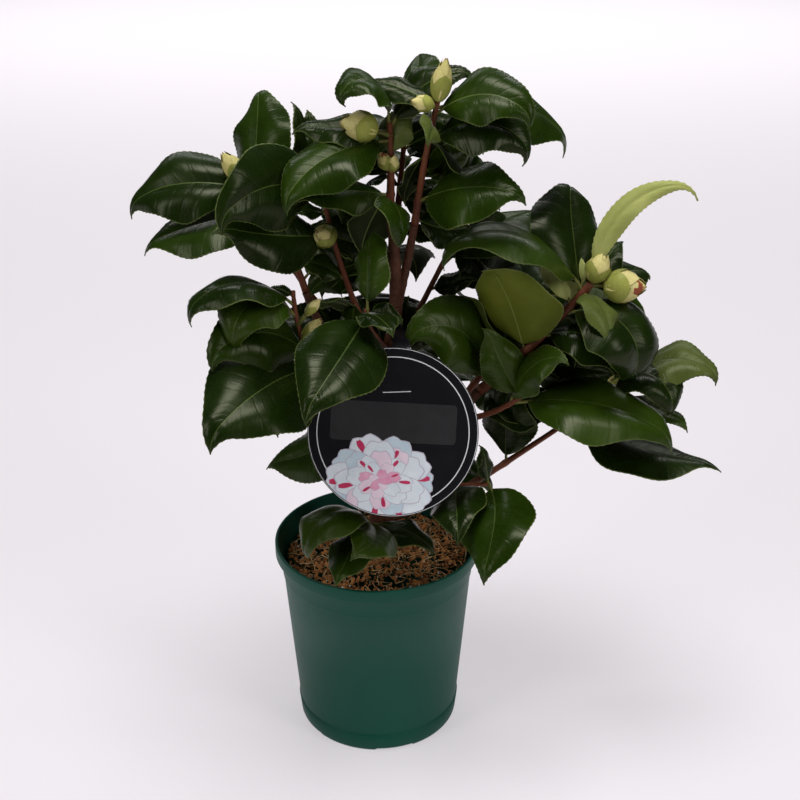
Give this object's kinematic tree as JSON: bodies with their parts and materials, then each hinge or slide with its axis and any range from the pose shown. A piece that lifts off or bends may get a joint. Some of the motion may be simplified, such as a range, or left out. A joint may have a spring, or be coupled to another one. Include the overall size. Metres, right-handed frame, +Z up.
{
  "type": "camellia shrub in a nursery pot",
  "caption": "Young evergreen shrub with glossy leaves and pale flower buds, standing in a tapered round plastic pot, with a round hang label looped on its stem.",
  "frame": {"origin": "middle of the pot's flat underside", "axes": "+Z up, +X to the right and -Y towards the viewer, seen from the label's side"},
  "size_m": [0.3458, 0.2233, 0.4336],
  "materials": {
    "pot_plastic": "dark teal-green injection-moulded plastic with a faint sheen",
    "compost": "dark brown fibrous compost, matte",
    "bark": "reddish-brown young bark, satin",
    "foliage": "very dark green glossy leaves with lighter serrated edges, pale yellow-green buds",
    "card": "black gloss printed label"
  },
  "bodies": {
    "root": {"pot": "pot_plastic", "root_ball": "compost", "trunk": "bark", "bough_main": "bark", "bough_upper": "bark", "bough_left": "bark", "bough_right": "bark", "bough_low": "bark", "leaves_left": "foliage", "leaves_upper_left": "foliage", "leaves_crown": "foliage", "leaves_top": "foliage", "leaves_right": "foliage", "leaves_low_right": "foliage", "leaves_inner_right": "foliage", "leaves_centre": "foliage", "leaves_mid_left": "foliage", "leaves_foot": "foliage", "leaves_foot_right": "foliage", "leaves_back_middle": "foliage", "leaves_back_left": "foliage", "leaves_back_inner": "foliage", "leaves_back_right": "foliage", "leaves_back_low": "foliage", "leaves_back_top": "foliage", "label": "card"}
  },
  "joints": []
}
